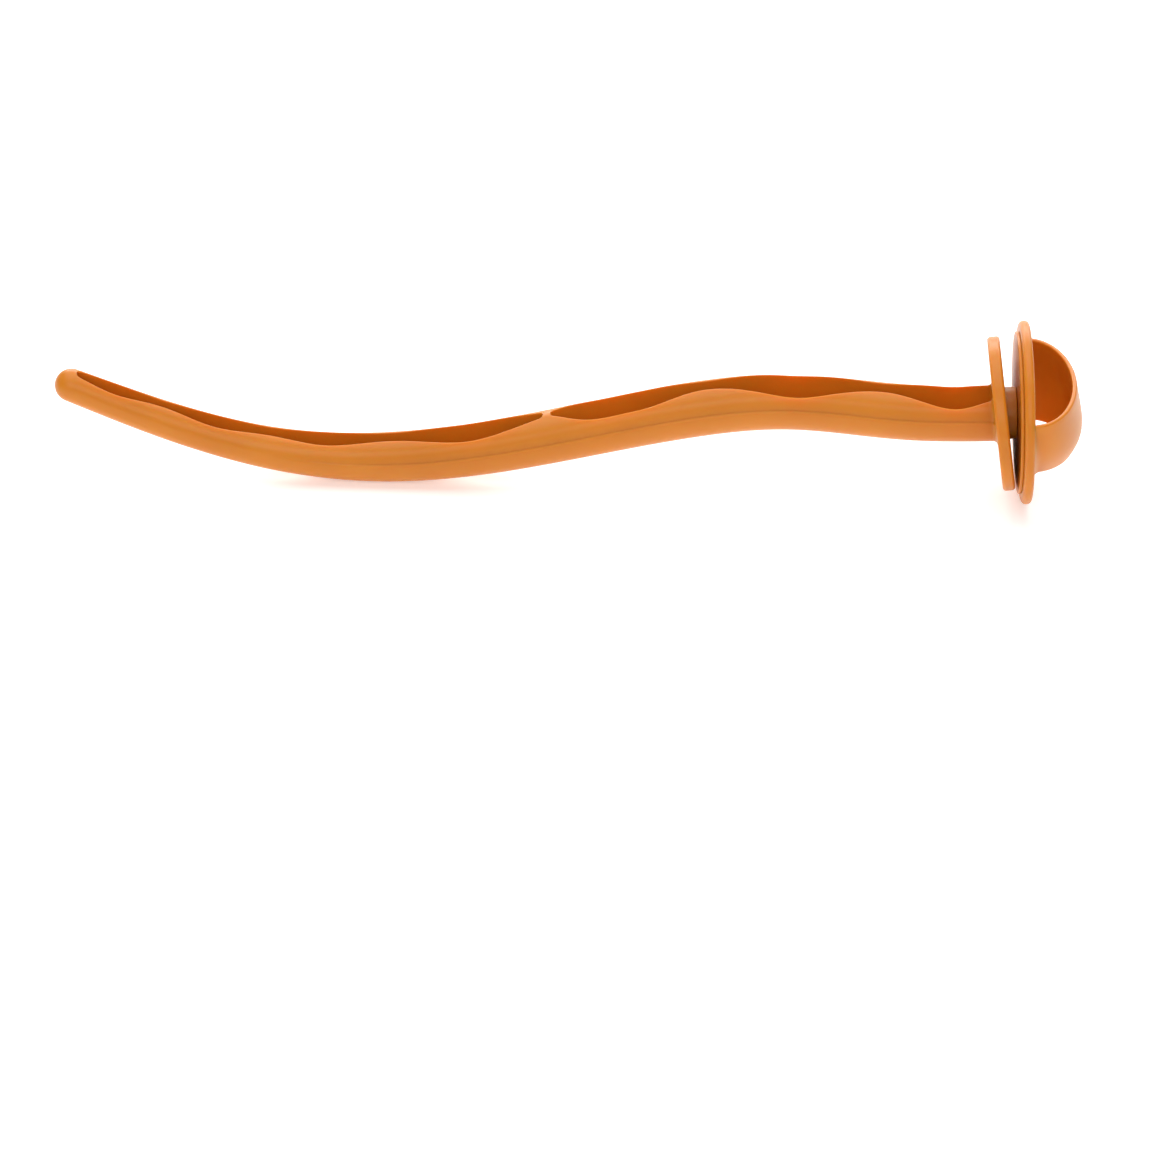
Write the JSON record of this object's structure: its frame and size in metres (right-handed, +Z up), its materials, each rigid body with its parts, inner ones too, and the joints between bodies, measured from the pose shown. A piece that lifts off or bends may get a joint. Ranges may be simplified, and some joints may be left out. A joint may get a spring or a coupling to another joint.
{
  "type": "clamp-on perch arm",
  "caption": "Long curved plastic arm, cored from above by lobed pockets, that a screw-on disc with a thumb hoop clamps to a wire panel.",
  "frame": {"origin": "on the screw axis, in the plane where the closed clamp's pressure plate meets the panel", "axes": "+X along the screw axis from the arm out through the clamp to the thumb hoop, +Z up, out of the arm's open pockets, and the arm runs along -X"},
  "size_m": [0.2477, 0.044, 0.044],
  "materials": {
    "arm_plastic": "satin-gloss orange moulded plastic",
    "washer_plastic": "satin-gloss orange moulded plastic",
    "knob_plastic": "satin-gloss orange moulded plastic"
  },
  "bodies": {
    "arm": {"perch_arm": "arm_plastic"},
    "washer": {"clamp_washer": "washer_plastic"},
    "knob": {"clamp_knob": "knob_plastic"}
  },
  "joints": [
    {"name": "knob_travel", "type": "slide", "parent": "arm", "child": "washer", "axis": [1, 0, 0], "range_m": [0, 0.00375]},
    {"name": "knob_turn", "type": "hinge", "parent": "washer", "child": "knob", "pos_m": [0, 0, 0], "axis": [1, 0, 0], "range_deg": [0, 540]}
  ],
  "couplings": [
    {"joint": "knob_travel", "follows": "knob_turn", "m_per_rad": 0.00039789}
  ]
}
